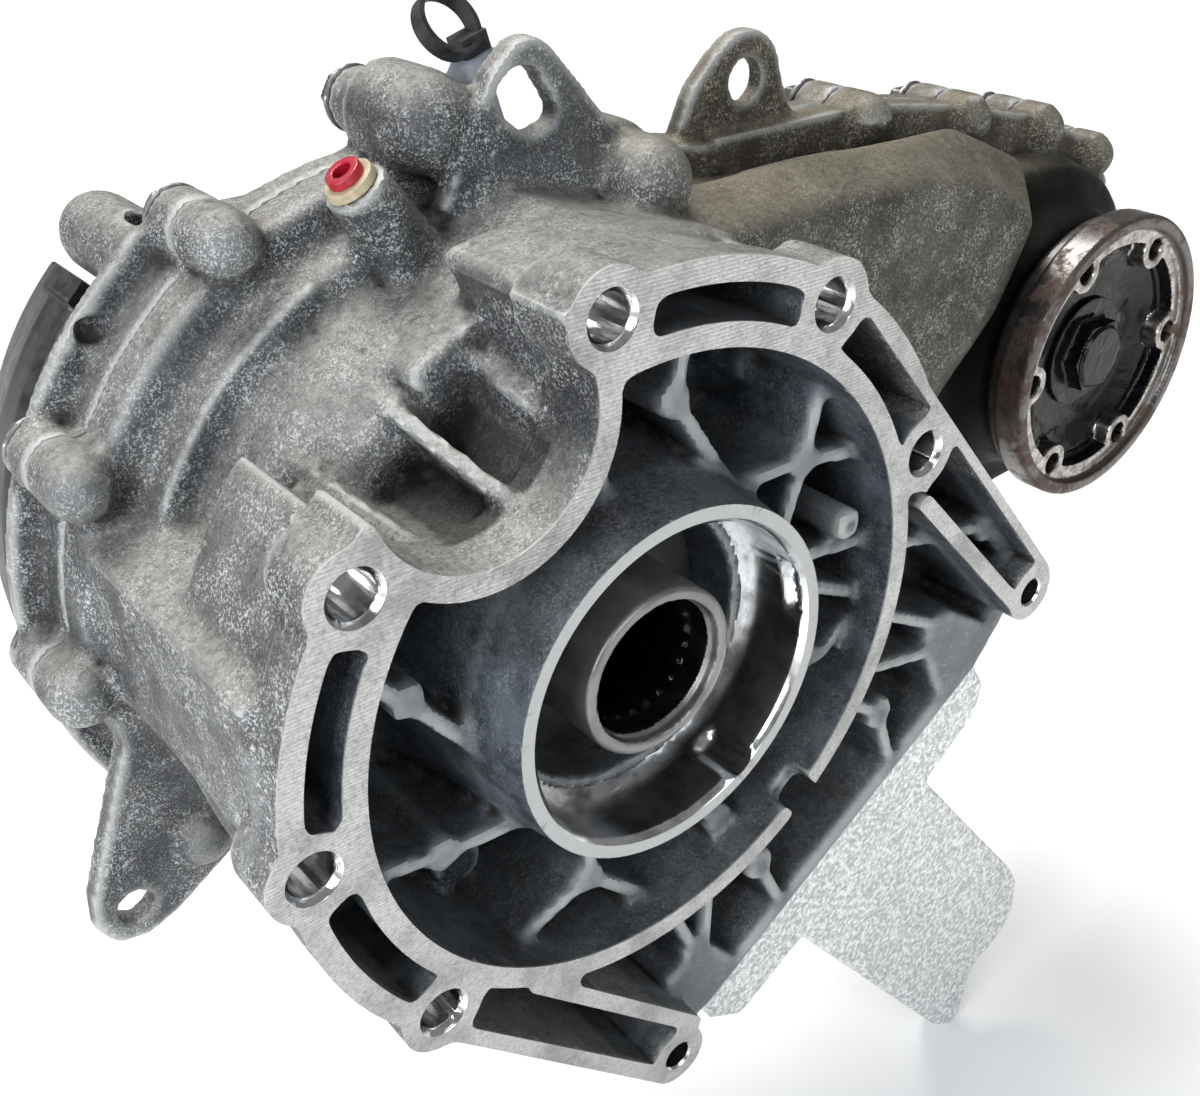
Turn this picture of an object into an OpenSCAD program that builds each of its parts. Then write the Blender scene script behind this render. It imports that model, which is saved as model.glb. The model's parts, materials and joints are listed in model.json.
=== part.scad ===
// Single-speed transfer case with a centre differential.
// Origin: on the input axis, in the plane of the bell housing's machined face.
// +X runs from the input axis to the front output axis, +Y to the rear output, +Z up.

/* [Bell housing] */
// inner radius of the machined ring
ring_inner_r = 84; // [75:0.5:95]
// outer radius of the machined ring
ring_outer_r = 90; // [80:0.5:100]
// inner radius of the outer rim
rim_inner_r = 99; // [90:0.5:110]
// outer radius of the outer rim
rim_outer_r = 105; // [95:0.5:120]
// radius of the circle the round group of bolt holes lies on
bell_bolt_circle_r = 98.5; // [90:0.5:110]
// radius of a mating bolt hole
bell_hole_r = 5.5; // [4:0.1:7]
// radius of the small holes in the two corners
corner_hole_r = 4.5; // [3:0.1:6]
// length of the ears that hold the mating bolt holes
ear_depth = 18; // [14:1:30]
// thickness of the flange band behind the machined face
flange_band = 13; // [8:1:20]
// depth of the bell's floor behind the machined face
floor_y = 50; // [35:1:70]
// wall thickness of the castings
wall = 6; // [4:0.5:9]

/* [Input boss] */
// outer radius of the boss at its front face
boss_r = 47.5; // [40:0.5:55]
// radius of the machined bore
boss_bore_r = 43; // [38:0.5:50]
// how far the boss stands in front of the mating face
boss_proud = 6; // [0:0.5:12]
// depth of the shoulder inside the bore
shoulder_y = 15; // [8:1:25]

/* [Chain drive] */
// chain pitch
chain_pitch = 9.525; // [8:0.005:12.7]
// teeth on each sprocket
sprocket_teeth = 35; // [25:1:45]
// pitches in the whole chain
chain_links = 90; // [70:2:110]
// width of the chain
chain_width = 22; // [15:1:30]
// middle plane of the chain
chain_y = 103; // [95:1:115]

/* [Case] */
// plane where the two castings meet
parting_y = 110; // [100:1:125]
// outer radius of the case rim round the input axis
case_r = 108; // [100:1:115]
// outer radius of the case rim round the front output axis
case_end_r = 72; // [65:1:85]
// radius of the main body behind the bell
body_r = 86; // [80:1:95]

/* [Output flanges] */
// outer radius of an output flange
flange_r = 54; // [50:0.5:60]
// radius of the circle of threaded holes
flange_bolt_circle_r = 43; // [38:0.5:47]
// radius of a threaded hole
flange_thread_r = 4; // [3:0.5:5]
// holes in a flange
flange_lugs = 6; // [4:1:8]
// front face of the front output flange
front_flange_y = 47; // [40:1:60]
// rear face of the rear output flange
rear_flange_y = 206; // [195:1:220]

/* [Differential] */
// centre of the differential
differential_y = 141; // [138:1:150]
// teeth on a side gear
side_teeth = 20; // [16:4:24]
// teeth on a pinion
pinion_teeth = 10; // [8:1:12]
// pitch radius of a side gear
side_pitch_r = 36; // [30:1:40]

/* [Hidden] */
$fn = 64;
fit = 0.05;
gap = 0.4;
overlap = 1;
lip = 2;
sprocket_r = chain_pitch / (2 * sin(180 / sprocket_teeth));
axis_gap = (chain_links - sprocket_teeth) * chain_pitch / 2;
front_axis = [axis_gap, 0];
band_w = rim_outer_r - rim_inner_r;
// the round group of mating holes, as angles from +X towards +Z
bell_hole_angles = [19, 59, 100, 146, 185, 225];
// the two corner holes of the bell
low_hole = [10, -146];
side_hole = [158, -38];
corner_holes = [low_hole, side_hole];
// the scooped notch at the bell's upper left
notch_centre = [-49, 78];
notch_r = 28.5;
// straight-sided skirt between the two corner holes
skirt = [[58, 89], [166, -31], [168, -46], [152, -67], [26, -152], [4, -154], [-72, -77], [0, 0]];
skirt_inner = [[57, 86], [162, -31], [150, -62.5], [25, -147.5], [7, -149.5], [-68.5, -74.3], [0, 0]];
// ejector pads inside the bell, as angles on one circle
pad_circle_r = 68;
pad_r = 4.8;
pad_angles = [33, 81, 166, 208, 257];
pad_y = 10;
outer_pads = [[145, -14], [126, -45], [102, -66.5], [52, -101], [26, -121]];
outer_pad_r = 5.5;
// broad flats at the ends of the skirt
side_gusset = [[121, -40], [132, -40], [160, -58], [152, -68], [141, -76], [131, -72], [121, -52]];
low_gusset = [[15, -126], [31, -121], [48, -140], [30, -152], [10, -146]];
rib_w = 4.2;
web_w = 5;
// case rim bosses, each [x, z]
top_boss = [-3, 118];
rim_bosses = [top_boss, [-56, 96], [-101, 46], [-111, -10], [-88, -70], [-32, -107], [40, -103],
    [112, -93], [185, -84], [248, -74], [310, -56], [331, 18], [309, 58], [272, 74], [226, 84], [170, 92]];
rim_boss_r = 9;
bolt_r = 4;
dowel_points = [[78, -97], [196, 84]];
plug_points = [[150, 40], [150, -50]];
boss_inner_bore_r = 38;
// the breather's boss: its foot inside the body, its lean to the left and its length
breather_base = [-3.5, 82, 70.8];
breather_lean = 34;
breather_length = 46;
front_shaft_r = 15;
rear_nose_y = 188;
bearing_ball_gap = 0.02;

// ---------- helpers ----------

// a shape drawn in X and Z, as a plate from y0 to y1
module plate(y0, y1) { translate([0, y1, 0]) rotate([90, 0, 0]) linear_extrude(y1 - y0) children(); }

// a round bar along Y
module bar(r, y0, y1, at = [0, 0]) {
    translate([at[0], y0, at[1]]) rotate([-90, 0, 0]) cylinder(r = r, h = y1 - y0);
}

// a round taper along Y
module taper(r0, r1, y0, y1, at = [0, 0]) {
    translate([at[0], y0, at[1]]) rotate([-90, 0, 0]) cylinder(r1 = r0, r2 = r1, h = y1 - y0);
}

// a profile of [radius, y] points turned about an axis along Y
module turned(points, at = [0, 0]) {
    translate([at[0], 0, at[1]]) rotate([-90, 0, 0]) rotate_extrude() polygon(points);
}

// a ring from radius inner to outer
module ring(inner, outer, y0, y1, at = [0, 0]) {
    turned([[inner, y0], [outer, y0], [outer, y1], [inner, y1]], at);
}

// two circles joined by straight sides that meet them at a very shallow angle
module tangent_outline(r_main, r_end) {
    lean = acos((r_main - r_end) / axis_gap);
    inset = 0.3;
    from = polar(r_main - inset, lean);
    to = [axis_gap, 0] + polar(r_end - inset, lean);
    circle(r_main);
    translate(front_axis) circle(r_end);
    polygon([from, to, [to[0], -to[1]], [from[0], -from[1]]]);
}

// a straight bar between two points of the X-Z plane
module strip(from, to, width) {
    run = to - from;
    translate(from) rotate(atan2(run[1], run[0])) translate([0, -width / 2]) square([norm(run), width]);
}

// a point at a radius and angle
function polar(r, a) = [r * cos(a), r * sin(a)];

// straight-sided gear outline
function gear_points(teeth, root, tip, root_share, tip_share) =
    [for (i = [0 : teeth - 1]) for (k = [0 : 3])
        polar([root, tip, tip, root][k],
            360 / teeth * (i + [-root_share, -tip_share, tip_share, root_share][k] / 2))];

// ---------- castings ----------

// how far the bell's wall steps in behind the flange band
wall_step = 3;
// depth of the wide band round the notch
notch_band = 20;
hole_pad_r = 11.5;
corner_pad_r = 10;
hole_chamfer = 1.5;
pocket_floor_y = floor_y - 12;
ring_gap = [[49, -60], [62, -76]];
ring_gap_w = 11;
ring_gap_depth = 7;
// webs between the ring and the rim, each [from, to, width]
long_web_low = [[-42, -79], low_hole + [8, 8], web_w];
long_web_side = [[95, 17], side_hole + [-8, -1], web_w];
// webs set back as far as the pads, each [ring angle, end]
short_webs = [[-1, [146, -14]], [-14, [124, -42]], [-29, [130, -54]], [-33, [102, -66]], [-68, [52, -101]],
    [-69, [30, -122]], [-83, [26, -121]]];
web_tails = [[[145, -14], [160, -32]], [[102, -66.5], [110, -88]], [[52, -101], [62, -121]]];
// the part of the skirt between the two long webs, set back from the joint face
set_back = [[0, 0], [95, 17], [150, -39], [190, -48], [190, -190], [18, -190], [18, -138], [-42, -79]];
// ribs inside the bell, each [from, to]
bell_rib_ends = [[[29, 40], [11, 67]], [[11, 67], [14, 83]], [[30, 37], [57, 37]], [[57, 37], [62, 60]],
    [[57, 37], [80, 33]], [[50, 16], [57, 37]], [[50, 8], [90, 3]], [[50, 2], [88, -16]],
    [[-46, -8], [-66, 16]], [[-66, 16], [-80, 30]], [[-30, -34], [-60, -32]], [[-60, -32], [-80, -28]],
    [[-15, -42], [-15, -66]], [[-15, -66], [-42, -76]], [[-15, -66], [6, -86]], [[45, -20], [72, -30]],
    [[38, -34], [72, -30]], [[72, -30], [84, -20]], [[24, -42], [33, -72]], [[5, -45], [33, -72]],
    [[33, -72], [44, -78]], [[-10, 46], [-14, 72]]];
low_pad = [33, -72];
post = [71, 15];
post_front_y = 5;
floor_bulges = [[62, 56], [52, -56], [-42, -62], [-70, -4]];
bulge_top_r = 7;
bulge_foot_r = 13;
bulge_height = 16;
// outer tube of the boss, behind the bell's floor
boss_tube_r = 52;
boss_tube_end = 88;
boss_foot_r = 58;
mouth_chamfer = 1.5;
oil_slot_r = 2.4;
scallop_r = 6.5;
scallop_depth = 10;
// ribs in the notch, each [angle, outer radius]
notch_rib_list = [[106, 71], [122.5, 65], [139.5, 71]];
notch_rib_w = 4;
notch_rib_from = 58;
roof_outline = [[-17, 70], [-17, 80], [-9, 91], [13, 101.5], [40, 92], [58, 84], [50, 60]];
roof_back_outline = [[-40, 74], [13, 101.5], [62, 88], [50, 40], [-20, 50]];
roof_end = 84;
roof_back_end = 100;
left_box_outline = [[-68, 37], [-86, 35], [-104, 31], [-103, -10], [-90, -40], [-70, -50], [-60, 20]];
left_box_end = 104;

module bell_ears() {
    for (a = bell_hole_angles) translate(polar(bell_bolt_circle_r, a)) circle(hole_pad_r);
    for (p = corner_holes) translate(p) circle(corner_pad_r);
}

module bell_outline(band = 0, ears = true) {
    difference() {
        union() { circle(rim_outer_r - band); polygon(skirt); }
        translate(notch_centre) circle(notch_r + band);
    }
    if (ears) bell_ears();
}

// the open pockets between ring, rim and webs
module bell_pockets() {
    difference() {
        union() { circle(rim_inner_r); polygon(skirt_inner); }
        circle(ring_outer_r);
        translate(notch_centre) circle(notch_r + band_w + overlap);
        for (a = bell_hole_angles) translate(polar(bell_bolt_circle_r, a)) circle(hole_pad_r);
        for (p = corner_holes) translate(p) circle(corner_pad_r);
        for (w = [long_web_low, long_web_side]) strip(w[0], w[1], w[2]);
    }
}

// webs, pads and flats in the skirt
module skirt_webs() {
    for (w = short_webs) strip(polar(ring_outer_r - lip, w[0]), w[1], rib_w);
    for (w = web_tails) strip(w[0], w[1], rib_w);
    for (p = outer_pads) translate(p) circle(outer_pad_r);
    polygon(side_gusset);
    polygon(low_gusset);
}

module skirt_set_back() {
    difference() {
        polygon(set_back);
        circle(ring_outer_r);
        for (p = corner_holes) translate(p) circle(corner_pad_r);
        for (w = [long_web_low, long_web_side]) strip(w[0], w[1], w[2]);
    }
}

module bell_cavity() {
    difference() {
        circle(ring_inner_r);
        translate(notch_centre) circle(notch_r + band_w);
    }
}

module bell() {
    difference() {
        union() {
            plate(0, flange_band) bell_outline();
            plate(0, ear_depth) bell_ears();
            plate(flange_band - overlap, floor_y + wall) bell_outline(band = wall_step, ears = false);
            // the notch's edge is a wide flat band
            plate(0, notch_band) intersection() { bell_outline(); translate(notch_centre)
                circle(notch_r + 9); }
        }
        plate(-overlap, floor_y) bell_cavity();
        plate(-overlap, pocket_floor_y) difference() { bell_pockets(); skirt_webs(); }
        plate(-overlap, pad_y) intersection() { bell_pockets(); skirt_webs(); }
        plate(-overlap, pad_y) skirt_set_back();
        // gap in the machined ring
        plate(-overlap, ring_gap_depth) strip(ring_gap[0], ring_gap[1], ring_gap_w);
    }
    bell_ribs();
}

// ribs and ejector pads between the boss and the ring
module bell_ribs() {
    intersection() {
        plate(pad_y, floor_y + overlap) union() {
            for (e = bell_rib_ends) strip(e[0], e[1], rib_w);
            for (a = pad_angles) translate(polar(pad_circle_r, a)) circle(pad_r);
            translate(low_pad) circle(pad_r);
        }
        plate(pad_y, floor_y + overlap) difference()
            { circle(ring_inner_r + lip); circle(boss_bore_r + overlap); }
    }
    // free-standing post and round bulges on the floor
    bar(pad_r, post_front_y, floor_y + overlap, post);
    for (p = floor_bulges) taper(bulge_top_r, bulge_foot_r, floor_y - bulge_height, floor_y + overlap, p);
}

module input_boss() {
    taper(boss_r, boss_foot_r, -boss_proud, floor_y + overlap);
    bar(boss_tube_r, floor_y, boss_tube_end);
}

module input_boss_bores() {
    turned([[0, -boss_proud - overlap], [boss_bore_r + mouth_chamfer, -boss_proud - overlap],
        [boss_bore_r + mouth_chamfer, -boss_proud], [boss_bore_r, -boss_proud + mouth_chamfer],
        [boss_bore_r, shoulder_y], [boss_inner_bore_r, shoulder_y],
        [boss_inner_bore_r, input_bearing[3] + overlap],
        [34, input_bearing[3] + overlap], [34, 72], [sprocket_bearing[1], 72],
        [sprocket_bearing[1], boss_tube_end + overlap], [0, boss_tube_end + overlap]]);
    // oil slot and scallop in the bore's mouth
    for (a = [6 : 3 : 24]) bar(oil_slot_r, -boss_proud + lip, overlap, polar(boss_bore_r + gap, a));
    bar(scallop_r, -boss_proud - overlap, scallop_depth, polar(boss_bore_r - 4.2, -58));
}

// ribs on the outside, bridging the notch behind the flange
module notch_ribs() {
    for (n = notch_rib_list) rotate([0, -n[0], 0]) plate(flange_band - overlap, floor_y + wall)
        translate([notch_rib_from, -notch_rib_w / 2]) square([n[1] - notch_rib_from, notch_rib_w]);
}

module main_body() {
    turned([[0, floor_y - 4], [72, floor_y - 4], [78, floor_y], [body_r, 66], [body_r + 1, 84],
        [body_r + 5, 92],
        [body_r + 12, 95], [case_r - 2, 96], [case_r, 98], [case_r, parting_y], [0, parting_y]]);
    // roof wedge, with its edge along the top
    plate(flange_band - overlap, roof_end) polygon(roof_outline);
    plate(floor_y - 4, roof_back_end) polygon(roof_back_outline);
    // box on the lower left, with its ridge
    plate(flange_band - overlap, left_box_end) polygon(left_box_outline);
}

module body_cavity() {
    turned([[0, floor_y + wall], [74, floor_y + wall], [80, floor_y + wall + 8], [80, parting_y + overlap],
        [0, parting_y + overlap]]);
}

front_layers = 8;
front_layer_step = 2.7;
front_layer_grow = 2.2;
// front wall of the chain case with the rounded shoulder beside the output neck
module chain_case_front() {
    plate(84, parting_y) tangent_outline(case_r - 12, case_end_r - 7);
    plate(98, parting_y) { tangent_outline(case_r, case_end_r); rim_cap(); }
    // bulged front wall that ends in a slanting edge beside the neck
    for (k = [0 : front_layers - 1])
        plate(59 + k * front_layer_step, 86) polygon(front_wall(k * front_layer_grow));
    taper(48, 54, 67, 86, front_axis);
}

// the rim stands higher between the bosses along the top of the chain case
module rim_cap() {
    polygon([[96, 60], [104, 96], [170, 97], [200, 93], [226, 89], [250, 83], [272, 79], [292, 70],
        [309, 62], [324, 45],
        [300, 20]]);
}

// outline of one layer of the bulged wall
function front_wall(grow) = [[0, 84 + grow / 2], [77, 82 + grow / 2], [120, 84 + grow / 2],
    [160, 82 + grow / 2],
    [195, 74 + grow], [220 + grow, 57 + grow], [204 + grow, 28], [176 + grow, 2], [150 + grow, -50 - grow],
    [90, -78 - grow], [0, -80 - grow]];

module chain_space(inset) {
    tangent_outline(case_r - 18, case_end_r - 10 - inset);
}

module rim_bosses_front() {
    for (p = rim_bosses) {
        bar(rim_boss_r, 98, parting_y, p);
        translate([p[0], 98, p[1]]) sphere(r = rim_boss_r);
    }
    // long boss at the top and the stepped round boss beside the roof edge
    bar(13, 92, parting_y, top_boss);
    translate([top_boss[0], 92, top_boss[1]]) sphere(r = 13);
    bar(12, 74, 100, [56, 97]);
    translate([56, 74, 97]) sphere(r = 12);
    bar(13.5, 86, 108, [54, 98]);
}

module breather_boss() {
    breather_frame(0) cylinder(r1 = 11, r2 = 8.4, h = breather_length);
}

module breather_bore() {
    breather_frame(26) cylinder(r = 5, h = 30);
}

top_bracket_y = [80, 88];
top_bracket_outline = [[-6, 98], [4, 118], [12, 131], [19, 136.5], [24, 137], [29, 134], [56, 104],
    [62, 88],
    [20, 88]];
top_bracket_window = [[11, 121], [13, 127], [19, 130.5], [24, 129], [31, 118], [29, 114.5], [21, 113]];
// upright bracket with a three-cornered window
module top_bracket() {
    difference() {
        plate(top_bracket_y[0], top_bracket_y[1]) polygon(top_bracket_outline);
        plate(top_bracket_y[0] - overlap, top_bracket_y[1] + overlap) polygon(top_bracket_window);
    }
}

eye = [120, 110];
eye_y = 103;
eye_r = 15;
eye_hole_r = 6.5;
eye_outline = [[84, 84], [90, 92], [98, 110], [108, 120], [122, 124], [133, 116], [140, 100], [152, 84]];
module lifting_eye() {
    difference() {
        plate(eye_y, parting_y) union() {
            translate(eye) circle(eye_r);
            polygon(eye_outline);
        }
        bar(eye_hole_r, eye_y - overlap, parting_y + overlap, eye);
    }
}

foot_y = [12, 26];
foot_base = [[149, -66], [160, -82], [158, -94], [136, -112], [50, -168], [36, -160], [31, -148]];
foot_arm = [[128, -104], [203, -194], [209, -204], [210, -218], [206, -228], [198, -234], [190, -236],
    [186, -242],
    [184, -262], [178, -266], [168, -260], [76, -148]];
foot_slot = [[88, -135], [117, -171]];
foot_slot_w = 1.8;
// foot that runs along the skirt and reaches down past it
module foot() {
    difference() {
        plate(foot_y[0], foot_y[1]) union() { polygon(foot_base); polygon(foot_arm); }
        plate(foot_y[0] - overlap, foot_y[0] + lip) strip(foot_slot[0], foot_slot[1], foot_slot_w);
    }
}

left_bracket_y = [96, 104];
left_bracket_outline = [[-98, -14], [-108, -40], [-121, -76], [-122, -86], [-117, -94], [-108, -96],
    [-98, -92],
    [-74, -76], [-60, -50]];
bracket_hole = [-110, -84];
bracket_hole_r = 5.2;
bracket_end_r = 11.5;
module left_bracket() {
    plate(left_bracket_y[0], left_bracket_y[1]) difference() {
        union() {
            polygon(left_bracket_outline);
            translate(bracket_hole + [1, 0]) circle(bracket_end_r);
        }
        translate(bracket_hole) circle(bracket_hole_r);
    }
}

module front_case() {
    color([0.62, 0.64, 0.66]) difference() {
        union() {
            bell();
            input_boss();
            main_body_shell();
            notch_ribs();
            rim_bosses_front();
            breather_boss();
            top_bracket();
            lifting_eye();
            foot();
            left_bracket();
        }
        input_boss_bores();
        breather_bore();
        bell_holes();
        front_neck_bores();
        for (p = rim_bosses) bar(bolt_r - 0.6, 92, parting_y + overlap, p);
        for (p = dowel_points) bar(4, 102, parting_y + overlap, p);
        tie_frame() translate([0, 0, -30]) cylinder(r = 3 + fit, h = 28);
    }
}

module main_body_shell() {
    difference() {
        union() { main_body(); chain_case_front(); }
        plate(-overlap, floor_y) bell_cavity();
        plate(-overlap, pocket_floor_y) difference() { bell_pockets(); skirt_webs(); }
        plate(-overlap, pad_y) intersection() { bell_pockets(); skirt_webs(); }
        plate(-overlap, pad_y) skirt_set_back();
        difference() {
            body_cavity();
            bar(boss_tube_r, floor_y, boss_tube_end);
        }
        plate(86, parting_y + overlap) chain_space(0);
    }
}

module bell_holes() {
    for (a = bell_hole_angles) {
        p = polar(bell_bolt_circle_r, a);
        bar(bell_hole_r, -overlap, ear_depth + 8, p);
        taper(bell_hole_r + hole_chamfer, bell_hole_r, -0.01, hole_chamfer, p);
    }
    for (p = corner_holes) bar(corner_hole_r, -overlap, ear_depth + 8, p);
}

module front_neck_bores() {
    bar(36, 60, 73, front_axis);
    bar(34, 73 - fit, 92, front_axis);
}

rear_drum_r = 96;
rear_disc_r = 117;
rear_disc_top = 99;
rear_disc_y = 119.5;
rear_disc_w = 6;
rear_disc_hole = [-84, 74];
rear_disc_hole_r = 4;
rear_disc_hole_depth = 4.5;
rear_lug = [-64, 86];
rear_lug_r = 11;
rear_lug_end = 158;
module rear_case() {
    color([0.6, 0.62, 0.64]) difference() {
        union() {
            plate(parting_y + fit, 120) { tangent_outline(case_r, case_end_r); rim_cap(); }
            // wide thin flange round the left half, flat along the top
            plate(rear_disc_y, rear_disc_y + rear_disc_w) intersection() {
                circle(rear_disc_r);
                translate([-rear_disc_r, -rear_disc_r])
                    square([rear_disc_r + 60, rear_disc_r + rear_disc_top]);
            }
            // rounded lug that points to the rear
            bar(rear_lug_r, 120, rear_lug_end, rear_lug);
            translate([rear_lug[0], rear_lug_end, rear_lug[1]]) sphere(r = rear_lug_r);
            for (p = rim_bosses) bar(rim_boss_r, parting_y + fit, 124, p);
            plate(119, 138) tangent_outline(case_r - 12, case_end_r - 10);
            turned([[0, 120], [rear_drum_r, 120], [rear_drum_r, 139], [93, 141], [84, 150], [74, 156],
                [66, 174], [52, 178], [50, rear_nose_y],
                [0, rear_nose_y]]);
            bar(36, 130, 144, front_axis);
            // cooling ribs on the rear wall
            for (z = [-40 : 20 : 40]) plate(130, 146) strip([96, z], [216, z * 0.7], 4);
            for (p = plug_points) bar(17, 120, 141, p);
        }
        for (p = rim_bosses) bar(10, 124, 136, p);
        for (p = plug_points) { bar(9, 110, 160, p); bar(15, 140, 160, p); }
        plate(parting_y - overlap, 132) chain_space(0);
        turned([[0, 112], [62, 112], [62, 170], [46, 170.5], [40, 171], [40, rear_nose_y + overlap],
            [0, rear_nose_y + overlap]]);
        bar(26, 118, 139, front_axis);
        for (p = rim_bosses) bar(bolt_r + 0.4, parting_y - overlap, 130, p);
        for (p = dowel_points) bar(4, parting_y - overlap, 117, p);
        // blind hole in the thin flange
        bar(rear_disc_hole_r, rear_disc_y - overlap, rear_disc_y + rear_disc_hole_depth, rear_disc_hole);
    }
}

// ---------- fixings in the case ----------

module case_bolts() {
    color([0.35, 0.35, 0.36]) for (p = rim_bosses) {
        bar(bolt_r - 0.6 - fit, 94, 124, p);
        bar(9, 124 + fit, 125.6, p);
        plate(125.6 - 0.01, 132) translate(p) circle(6.5, $fn = 6);
    }
}

module case_dowels() {
    color([0.7, 0.7, 0.72]) for (p = dowel_points) difference() {
        bar(4 - fit, 103, 116, p);
        bar(2.4, 102, 118, p);
    }
}

module plug(at) {
    bar(9 - fit, 134, 142, at);
    bar(12, 142, 145, at);
    difference() {
        bar(9, 144, 151, at);
        plate(146, 152) translate(at) circle(5.5, $fn = 6);
    }
}

module fill_plug() { color([0.3, 0.3, 0.32]) plug(plug_points[0]); }
module drain_plug() { color([0.3, 0.3, 0.32]) plug(plug_points[1]); }
module plug_washers() {
    color([0.75, 0.5, 0.3]) for (p = plug_points) ring(9 + fit, 13, 140 + fit, 142 - fit, p);
}

module seal(inner, outer, y0, y1, at = [0, 0]) {
    turned([[inner + gap, y0 + 2], [inner + gap, y0 + 5], [inner + 3, y0 + 5], [inner + 3, y1],
        [outer - 2, y1],
        [outer, y1], [outer, y0], [inner + 2, y0]], at);
}

module input_seal() { color([0.12, 0.12, 0.12]) seal(23.3, boss_inner_bore_r - fit, 33, 42); }
module front_output_seal() { color([0.12, 0.12, 0.12]) seal(24, 36 - fit, 67.5, 73 - fit, front_axis); }
module rear_output_seal() {
    color([0.12, 0.12, 0.12]) turned([[26 + gap, 186], [26 + gap, 184], [29, 184], [29, 181],
        [40 - fit, 181],
        [40 - fit, 187.5], [28, 187.5]]);
}

// ---------- bearings ----------

// each bearing as [bore radius, outer radius, front face, rear face]
input_bearing = [24, 38, 45, 59];
sprocket_bearing = [30, 46, 73, 87.5];
rear_bearing = [24, 40, 171 + fit, 180.6];
neck_bearing = [18, 34, 74.5, 88];
end_bearing = [15, 26, 121, 133];
// half of a race's share of the space, and a ball's radius, as parts of that space
race_share = 0.15;
ball_share = 0.29;

function ball_circle(b) = (b[0] + b[1]) / 2;
function ball_radius(b) = (b[1] - b[0] - 2 * fit) * ball_share;
function race_lip(b) = (b[1] - b[0] - 2 * fit) * race_share;

module groove(b, at) {
    translate([at[0], (b[2] + b[3]) / 2, at[1]]) rotate([-90, 0, 0]) rotate_extrude()
        translate([ball_circle(b), 0]) circle(ball_radius(b) + bearing_ball_gap);
}

module outer_race(b, at = [0, 0]) {
    difference() {
        ring(ball_circle(b) + race_lip(b), b[1] - fit, b[2], b[3], at);
        groove(b, at);
    }
}

module inner_race(b, at = [0, 0]) {
    difference() {
        ring(b[0] + fit, ball_circle(b) - race_lip(b), b[2], b[3], at);
        groove(b, at);
    }
}

module balls(b, count, at = [0, 0]) {
    for (i = [0 : count - 1]) {
        p = at + polar(ball_circle(b), 360 / count * i);
        translate([p[0], (b[2] + b[3]) / 2, p[1]]) sphere(r = ball_radius(b));
    }
}

steel = [0.75, 0.76, 0.78];
module input_bearing_outer() { color(steel) outer_race(input_bearing); }
module input_bearing_inner() { color(steel) inner_race(input_bearing); }
module input_bearing_balls() { color(steel) balls(input_bearing, 16); }
module sprocket_bearing_outer() { color(steel) outer_race(sprocket_bearing); }
module sprocket_bearing_inner() { color(steel) inner_race(sprocket_bearing); }
module sprocket_bearing_balls() { color(steel) balls(sprocket_bearing, 16); }
module rear_bearing_outer() { color(steel) outer_race(rear_bearing); }
module rear_bearing_inner() { color(steel) inner_race(rear_bearing); }
module rear_bearing_balls() { color(steel) balls(rear_bearing, 15); }
module front_shaft_bearing_outers() {
    color(steel) { outer_race(neck_bearing, front_axis); outer_race(end_bearing, front_axis); }
}
module front_shaft_bearing_inners() {
    color(steel) { inner_race(neck_bearing, front_axis); inner_race(end_bearing, front_axis); }
}
module front_shaft_bearing_balls() {
    color(steel) { balls(neck_bearing, 11, front_axis); balls(end_bearing, 12, front_axis); }
}

// ---------- input shaft and carrier ----------

spline_teeth = 24;
module input_shaft() {
    color([0.45, 0.46, 0.48]) {
        difference() {
            turned([[18.8, 1.5], [22.5, 1.5], [23.3, 2.3], [23.3, 44], [24, 44.5], [24, 60], [19, 62],
                [19, 126], [15, 126], [15, 54], [18.8, 50]]);
            // step inside the hub's mouth
            turned([[17, 0], [19.8, 0], [19.8, 5], [17, 5]]);
        }
        for (i = [0 : spline_teeth - 1]) rotate([0, 360 / spline_teeth * i, 0])
            translate([17.4, 12, -0.9]) cube([1.8, 32, 1.8]);
    }
}

spider_arm_r = 7;
module spider() {
    color(steel) {
        difference() {
            union() {
                bar(14, 126 + fit, differential_y + 10);
                for (a = [0 : 90 : 270]) rotate([0, a, 0]) translate([0, differential_y, 0])
                    rotate([0, 90, 0]) cylinder(r = spider_arm_r, h = 49.9);
                bar(15 - fit, 90, 127);
            }
            bar(6, 80, differential_y + 12);
        }
    }
}

drum_y0 = 116.5;
drum_y1 = 168.5;
module carrier_drum() {
    color([0.5, 0.5, 0.52]) difference() {
        turned([[32, drum_y0], [52, drum_y0], [57, drum_y0 + 4], [57, drum_y1 - 6], [46, drum_y1 - 6],
            [46, drum_y0 + 4],
            [32, drum_y0 + 4]]);
        for (a = [0 : 90 : 270]) rotate([0, a, 0]) translate([0, differential_y, 0])
            rotate([0, 90, 0]) cylinder(r = spider_arm_r + fit, h = 70);
        // windows between the arms
        for (a = [45 : 90 : 315]) rotate([0, a, 0]) translate([0, differential_y, 0])
            rotate([0, 90, 0]) cylinder(r = 11, h = 70);
        for (i = [0 : 7]) { p = polar(51.5, 45 * i + 22.5); bar(2, drum_y1 - 18, drum_y1, p); }
    }
}

module carrier_cover() {
    color([0.5, 0.5, 0.52]) difference() {
        ring(27, 57, drum_y1 - 6 + fit, drum_y1 - 1);
        for (i = [0 : 7]) { p = polar(51.5, 45 * i + 22.5); bar(2.3, drum_y1 - 18, drum_y1, p); }
    }
}

module carrier_screws() {
    color([0.25, 0.25, 0.27]) for (i = [0 : 7]) {
        p = polar(51.5, 45 * i + 22.5);
        bar(2 - fit, drum_y1 - 16, drum_y1 - 0.5, p);
        bar(3.6, drum_y1 - 1 + fit, drum_y1 + 1, p);
    }
}

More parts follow.
